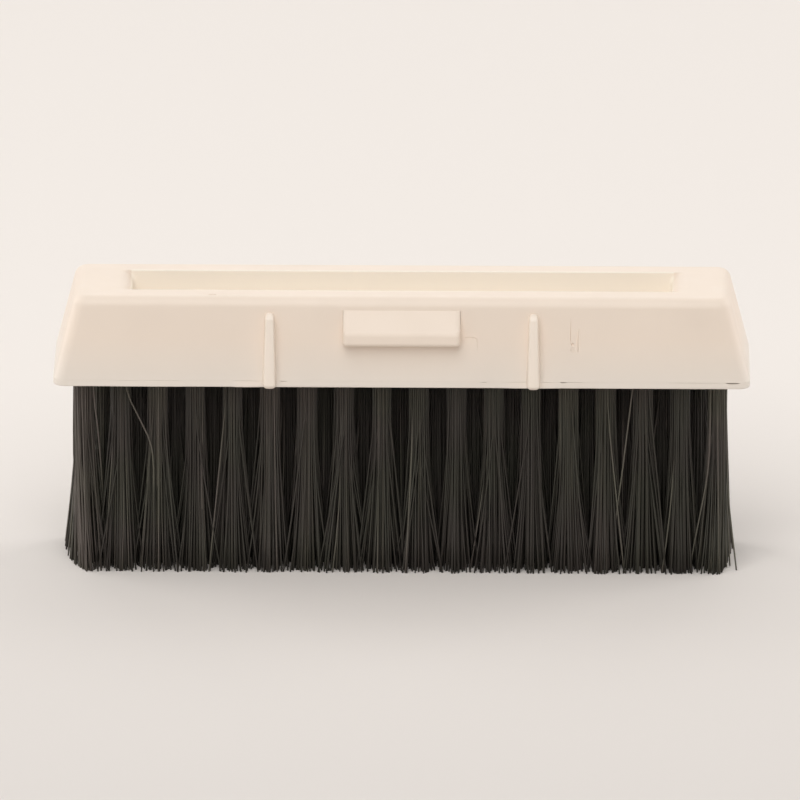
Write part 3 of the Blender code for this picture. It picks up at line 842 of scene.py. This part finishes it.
def smooth_path(points, stations):
    """A smooth curve through points, at evenly spread stations."""
    points = np.array(points)
    first = 2 * points[0] - points[1]
    last = 2 * points[-1] - points[-2]
    held = np.concatenate(([first], points, [last]))
    place = np.linspace(0, len(points) - 1, stations)
    piece = np.minimum(place.astype(int), len(points) - 2)
    share = (place - piece)[:, None]
    a, b, c, d = (held[piece + i] for i in range(4))
    return (2 * b + (c - a) * share + (2 * a - 5 * b + 4 * c - d) * share ** 2
            + (3 * b - a - 3 * c + d) * share ** 3) / 2


def add_tubes(store, paths, radii, tones):
    """Round tubes along centre lines, closed at both ends."""
    count, stations, _ = paths.shape
    along = np.gradient(paths, axis=1)
    along /= np.linalg.norm(along, axis=2, keepdims=True)
    across = np.cross(along, np.array((0.0, 1.0, 0.0)))
    across /= np.linalg.norm(across, axis=2, keepdims=True)
    other = np.cross(along, across)
    angles = math.tau * np.arange(STRAND_SIDES) / STRAND_SIDES
    rings = (paths[:, :, None, :]
             + radii[:, None, None, None] * (
                 np.cos(angles)[None, None, :, None] * across[:, :, None, :]
                 + np.sin(angles)[None, None, :, None] * other[:, :, None, :]))
    rings[..., 2] = np.maximum(rings[..., 2], 0.0)
    first = store["count"]
    store["verts"].append(rings.reshape(-1, 3))
    store["count"] += count * stations * STRAND_SIDES
    height = (Z_BLOCK - paths[:, :, 2]) / (Z_BLOCK * UNLIKE_FROM_SHARE)
    likeness = ROOT_LIKENESS_SHARE * (1 - np.clip(height, 0, 1))
    # painted light: the roots are lighter, against the housing's shade
    painted_root_tone = min(tones.mean() + ROOT_PAINTED_LIGHT, 1.0)
    own_tones = tones[:, None] + (painted_root_tone - tones[:, None]) * likeness
    store["tones"].append(np.repeat(own_tones, STRAND_SIDES))
    for strand in range(count):
        base = first + strand * stations * STRAND_SIDES
        for station in range(stations - 1):
            low = base + station * STRAND_SIDES
            for side in range(STRAND_SIDES):
                after = (side + 1) % STRAND_SIDES
                store["faces"].append((low + side, low + after,
                                       low + STRAND_SIDES + after, low + STRAND_SIDES + side))
                store["smooth"].append(True)
        last = base + (stations - 1) * STRAND_SIDES
        store["faces"].append(tuple(base + side for side in reversed(range(STRAND_SIDES))))
        store["faces"].append(tuple(last + side for side in range(STRAND_SIDES)))
        store["smooth"] += [False, False]


def strand_tones(column, row, aside, loose, rng):
    """How light each filament of a tuft is, 0 to 1.

    The crown of a tuft and the ends of the head are paler, as painted light, and
    the middle row darker, as painted shade; loose filaments are paler too. aside is how far a
    tip lies from its tuft's middle, as a share.
    """
    tones = rng.uniform(*TONE_SHARES, STRANDS) + rng.normal(0, TONE_SPREAD)
    tones += np.where(loose, LOOSE_TONE_RISE, 0.0) + CROWN_PAINTED_LIGHT * (CROWN_EDGE_SHARE - aside)
    if column in (0, TUFTS_IN_OUTER_ROW - 1):
        tones += END_PAINTED_LIGHT
    elif row % 2:
        tones -= MIDDLE_PAINTED_SHADE
    light = rng.uniform(0, 1, STRANDS) < LIGHT_STRAND_SHARE
    return np.clip(np.where(light, 1.0, tones), 0, 1)


def add_backing(store, column):
    """A slice of backing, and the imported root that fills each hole."""
    bm = bmesh.new()
    plugs = []
    for row in rows_of_column(column):
        x = tuft_x(column, row)
        lower, upper = skin(bm, [
            polygon(x, row_y(row), ROOT_RADIUS, HOLE_SIDES, z)
            for z in (Z_BLOCK + PLUG_RECESS, Z_BACKING)])
        bm.faces.new(lower)
        plugs.append(upper)
    outline = backing_outline(column)
    lower, upper = skin(bm, [[Vector((x, y, z)) for x, y in outline]
                             for z in (Z_BACKING, Z_BACKING_TOP)])
    fill_around(bm, lower, plugs)
    fill_around(bm, upper, [])
    bmesh.ops.recalc_face_normals(bm, faces=bm.faces)
    bm.verts.index_update()
    first = store["count"]
    store["verts"].append(np.array([vert.co for vert in bm.verts]))
    store["count"] += len(bm.verts)
    store["tones"].append(np.zeros(len(bm.verts)))
    for face in bm.faces:
        store["faces"].append(tuple(first + vert.index for vert in face.verts))
        store["smooth"].append(False)
    bm.free()


def make_tuft_column(column, material):
    """The tufts of one column with their roots and slice of backing."""
    rng = np.random.default_rng(SEED + column)
    store = {"verts": [], "count": 0, "faces": [], "smooth": [], "tones": []}
    for row in rows_of_column(column):
        x = tuft_x(column, row) + FIELD_SHIFT
        paths, loose = strand_paths(x, row_y(row), rng)
        radii = STRAND_RADIUS * rng.uniform(*STRAND_RADIUS_SHARES, STRANDS)
        aside = np.abs(paths[:, -1, 0] - x) / (TUFT_PITCH / 2)
        add_tubes(store, paths, radii, strand_tones(column, row, aside, loose, rng))
    for owner, points in STRAYS:
        if owner == column:
            path = smooth_path(points, STRAY_STATIONS)
            add_tubes(store, path[None], np.array([STRAY_RADIUS]), np.array([1.0]))
    add_backing(store, column)

    name = f"tufts_{column + 1:02d}"
    mesh = bpy.data.meshes.new(name)
    mesh.from_pydata(np.concatenate(store["verts"]).tolist(), [], store["faces"])
    mesh.polygons.foreach_set("use_smooth", store["smooth"])
    tone = mesh.attributes.new("tone", 'FLOAT', 'POINT')
    tone.data.foreach_set("value", np.concatenate(store["tones"]).astype(np.float32))
    mesh.materials.append(material)
    mesh.update()
    tufts = bpy.data.objects.new(name, mesh)
    bpy.context.scene.collection.objects.link(tufts)
    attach(tufts, "root")
    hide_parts(f"tuft_column_{column + 1:02d}")


def new_material(name):
    """A material with nodes; returns it, its tree and its shader."""
    material = bpy.data.materials.new(name)
    material.use_nodes = True
    tree = material.node_tree
    return material, tree, tree.nodes["Principled BSDF"]


def own_coordinates(tree):
    """Places in the part's own coordinates."""
    return tree.nodes.new("ShaderNodeTexCoord").outputs["Object"]


def noise(tree, scale, detail):
    """Noise in the part's own coordinates."""
    texture = tree.nodes.new("ShaderNodeTexNoise")
    texture.inputs["Scale"].default_value = scale
    texture.inputs["Detail"].default_value = detail
    tree.links.new(own_coordinates(tree), texture.inputs["Vector"])
    return texture.outputs["Fac"]


def ramp(tree, factor, stops):
    """Colours over a factor; stops are (place, linear RGB)."""
    node = tree.nodes.new("ShaderNodeValToRGB")
    elements = node.color_ramp.elements
    while len(elements) < len(stops):
        elements.new(1.0)
    for element, (place, colour) in zip(elements, stops):
        element.position = place
        element.color = (*colour, 1.0)
    tree.links.new(factor, node.inputs["Fac"])
    return node.outputs["Color"]


def map_range(tree, value, source, target):
    """A value mapped from one range to another, and held within it."""
    node = tree.nodes.new("ShaderNodeMapRange")
    node.inputs["From Min"].default_value = source[0]
    node.inputs["From Max"].default_value = source[1]
    node.inputs["To Min"].default_value = target[0]
    node.inputs["To Max"].default_value = target[1]
    tree.links.new(value, node.inputs["Value"])
    return node.outputs["Result"]


def blend_colours(tree, factor, colour, other):
    """A linked colour, turned towards another colour by a factor."""
    node = tree.nodes.new("ShaderNodeMix")
    node.data_type = 'RGBA'
    tree.links.new(factor, node.inputs["Factor"])
    tree.links.new(colour, node.inputs["A"])
    node.inputs["B"].default_value = (*other, 1.0)
    return node.outputs["Result"]


def bump(tree, height, strength, distance, normal=None):
    """A bump from a height; normal is an earlier bump under it."""
    node = tree.nodes.new("ShaderNodeBump")
    node.inputs["Strength"].default_value = strength
    node.inputs["Distance"].default_value = distance
    tree.links.new(height, node.inputs["Height"])
    if normal is not None:
        tree.links.new(normal, node.inputs["Normal"])
    return node.outputs["Normal"]


def calculate(tree, operation, value, other=None):
    """One step of arithmetic on a value, or on two."""
    node = tree.nodes.new("ShaderNodeMath")
    node.operation = operation
    tree.links.new(value, node.inputs[0])
    if other is not None:
        tree.links.new(other, node.inputs[1])
    return node.outputs[0]


def painted_socket_light(tree, split):
    """Painted light: 1 inside the socket, whose thin walls let light through, and 0 round it."""
    mouth = socket_section(SOCKET_DEPTH)
    inside = []
    for axis, half in (("X", mouth.half_x), ("Y", mouth.half_y)):
        away = calculate(tree, 'ABSOLUTE', split.outputs[axis])
        limits = [half + past for past in SOCKET_PAINTED_LIGHT_FADE]
        inside.append(map_range(tree, away, limits, (1.0, 0.0)))
    return calculate(tree, 'MULTIPLY', *inside)


def painted_proud_highlight(tree, split):
    """Painted highlight: 1 on what stands proud beside the catches, such as the ribs, 0
    elsewhere.
    """
    folded = tree.nodes.new("ShaderNodeVectorMath")
    folded.operation = 'ABSOLUTE'
    tree.links.new(own_coordinates(tree), folded.inputs[0])
    across = tree.nodes.new("ShaderNodeVectorMath")
    across.operation = 'DOT_PRODUCT'
    across.inputs[1].default_value = (0.0, 1.0, math.tan(SIDE_DRAFT))
    tree.links.new(folded.outputs["Vector"], across.inputs[0])
    face = front_face(0.0)
    proud = map_range(tree, across.outputs["Value"], (face + HIGHLIGHT_FROM, face + HIGHLIGHT_TO),
                      (0.0, 1.0))
    catch_end = CATCH_WIDTH / 2
    beside = map_range(tree, calculate(tree, 'ABSOLUTE', split.outputs["X"]),
                       (catch_end, catch_end + HIGHLIGHT_PAST_CATCH), (0.0, 1.0))
    return calculate(tree, 'MULTIPLY', proud, beside)


def make_cream():
    """Satin moulded plastic, uneven in tone, greyer towards its foot, with painted light in its
    socket and a painted highlight on its ribs and burrs.
    """
    material, tree, shader = new_material("cream_plastic_moulded")
    colour = ramp(tree, noise(tree, *TONE_NOISE), TONE_STOPS)
    split = tree.nodes.new("ShaderNodeSeparateXYZ")
    tree.links.new(own_coordinates(tree), split.inputs[0])
    foot = map_range(tree, split.outputs["Z"], (Z_BLOCK, Z_BLOCK + FOOT_TINT_HEIGHT),
                     (FOOT_TINT_SHARE, 0.0))
    colour = blend_colours(tree, foot, colour, CREAM_FOOT)
    # painted highlight on the ribs and burrs
    colour = blend_colours(tree, painted_proud_highlight(tree, split), colour, PROUD_PAINTED_HIGHLIGHT)
    # painted light inside the socket
    colour = blend_colours(tree, painted_socket_light(tree, split), colour, SOCKET_PAINTED_LIGHT)
    for place, radius, strength in SMUDGES:
        away = tree.nodes.new("ShaderNodeVectorMath")
        away.operation = 'DISTANCE'
        away.inputs[1].default_value = place
        tree.links.new(own_coordinates(tree), away.inputs[0])
        smudge = map_range(tree, away.outputs["Value"], (0.0, radius), (strength, 0.0))
        colour = blend_colours(tree, smudge, colour, CREAM_SMUDGE)
    tree.links.new(colour, shader.inputs["Base Color"])

    rough = map_range(tree, noise(tree, *ROUGH_NOISE), ROUGH_NOISE_RANGE, CREAM_ROUGHNESS)
    tree.links.new(rough, shader.inputs["Roughness"])
    waves = bump(tree, noise(tree, *WAVE_NOISE), WAVE_STRENGTH, WAVE_HEIGHT)
    grain = bump(tree, noise(tree, *GRAIN_NOISE), GRAIN_STRENGTH, GRAIN_HEIGHT, waves)
    tree.links.new(grain, shader.inputs["Normal"])
    return material


def make_charcoal():
    """Dull dark filament, each strand of its own tone, which also carries painted light and
    shade.
    """
    material, tree, shader = new_material("charcoal_filament_strands")
    shader.inputs["Specular IOR Level"].default_value = CHARCOAL_SPECULAR
    tone = tree.nodes.new("ShaderNodeAttribute")
    tone.attribute_name = "tone"
    colour = ramp(tree, tone.outputs["Fac"], CHARCOAL_STOPS)
    tint = ramp(tree, noise(tree, *TINT_NOISE), TINT_STOPS)
    tinted = tree.nodes.new("ShaderNodeVectorMath")
    tinted.operation = 'MULTIPLY'
    tree.links.new(colour, tinted.inputs[0])
    tree.links.new(tint, tinted.inputs[1])
    tree.links.new(tinted.outputs["Vector"], shader.inputs["Base Color"])
    rough = map_range(tree, tone.outputs["Fac"], (0.0, 1.0), CHARCOAL_ROUGHNESS)
    tree.links.new(rough, shader.inputs["Roughness"])
    return material


def seen_directly(tree):
    """1 for camera, glossy and transmission rays, 0 for the rest."""
    path = tree.nodes.new("ShaderNodeLightPath")
    found = path.outputs["Is Camera Ray"]
    for name in ("Is Glossy Ray", "Is Transmission Ray"):
        found = calculate(tree, 'MAXIMUM', found, path.outputs[name])
    return found


def make_camera():
    """The photograph's view."""
    back = Vector((math.sin(CAMERA_AZIMUTH) * math.cos(CAMERA_ELEVATION),
                   -math.cos(CAMERA_AZIMUTH) * math.cos(CAMERA_ELEVATION),
                   math.sin(CAMERA_ELEVATION)))
    turn = (-back).to_track_quat("-Z", "Y").to_matrix() @ Matrix.Rotation(CAMERA_ROLL, 3, 'Z')
    target = AIM_AT - AIM_ASIDE * turn.col[0] - AIM_BELOW * turn.col[1]
    data = bpy.data.cameras.new("camera")
    data.lens = CAMERA_LENS
    data.sensor_width = SENSOR_WIDTH
    data.clip_start, data.clip_end = CAMERA_CLIP
    camera = bpy.data.objects.new("camera", data)
    camera.matrix_world = Matrix.Translation(target + CAMERA_DISTANCE * back) @ turn.to_4x4()
    bpy.context.scene.collection.objects.link(camera)
    bpy.context.scene.camera = camera


def add_softbox(box):
    """A square soft light that faces the head."""
    data = bpy.data.lights.new(box.name, 'AREA')
    data.shape = 'SQUARE'
    data.size = box.size
    data.energy = box.watts
    data.color = SOFTBOX_COLOUR
    lamp = bpy.data.objects.new(box.name, data)
    facing = (LIGHT_TARGET - Vector(box.place)).to_track_quat("-Z", "Y")
    lamp.matrix_world = Matrix.Translation(box.place) @ facing.to_matrix().to_4x4()
    bpy.context.scene.collection.objects.link(lamp)


def make_lights():
    """Soft light from the front, both sides and behind, in an even surrounding."""
    for box in SOFTBOXES:
        add_softbox(box)
    world = bpy.data.worlds.new("world")
    world.use_nodes = True
    bpy.context.scene.world = world
    tree = world.node_tree
    light = tree.nodes["Background"]
    light.inputs["Color"].default_value = (*WORLD_COLOUR, 1.0)
    light.inputs["Strength"].default_value = WORLD_STRENGTH
    seen = tree.nodes.new("ShaderNodeBackground")
    seen.inputs["Color"].default_value = (*WORLD_SEEN_COLOUR, 1.0)
    mix = tree.nodes.new("ShaderNodeMixShader")
    tree.links.new(seen_directly(tree), mix.inputs["Fac"])
    tree.links.new(light.outputs[0], mix.inputs[1])
    tree.links.new(seen.outputs[0], mix.inputs[2])
    tree.links.new(mix.outputs[0], tree.nodes["World Output"].inputs["Surface"])


def make_floor():
    """A wide pale floor that fades from its front shade to its back one, as painted light."""
    material, tree, shader = new_material("floor")
    shader.inputs["Roughness"].default_value = FLOOR_ROUGHNESS
    split = tree.nodes.new("ShaderNodeSeparateXYZ")
    tree.links.new(own_coordinates(tree), split.inputs[0])
    depth = map_range(tree, split.outputs["Y"], FLOOR_FADE, (0.0, 1.0))
    shade = ramp(tree, depth, ((0.0, FLOOR_FRONT), (1.0, FLOOR_BACK)))
    tree.links.new(shade, shader.inputs["Base Color"])
    bm = bmesh.new()
    bmesh.ops.create_grid(bm, x_segments=1, y_segments=1, size=FLOOR_HALF)
    new_object("floor", bm, material)


def main():
    """Set up the view, the light and the floor, then model every piece."""
    bpy.context.scene.view_settings.view_transform = 'Standard'
    make_camera()
    make_lights()
    make_floor()
    cream = make_cream()
    charcoal = make_charcoal()
    make_housing(cream)
    make_block(cream)
    for column in range(TUFTS_IN_OUTER_ROW):
        make_tuft_column(column, charcoal)


main()
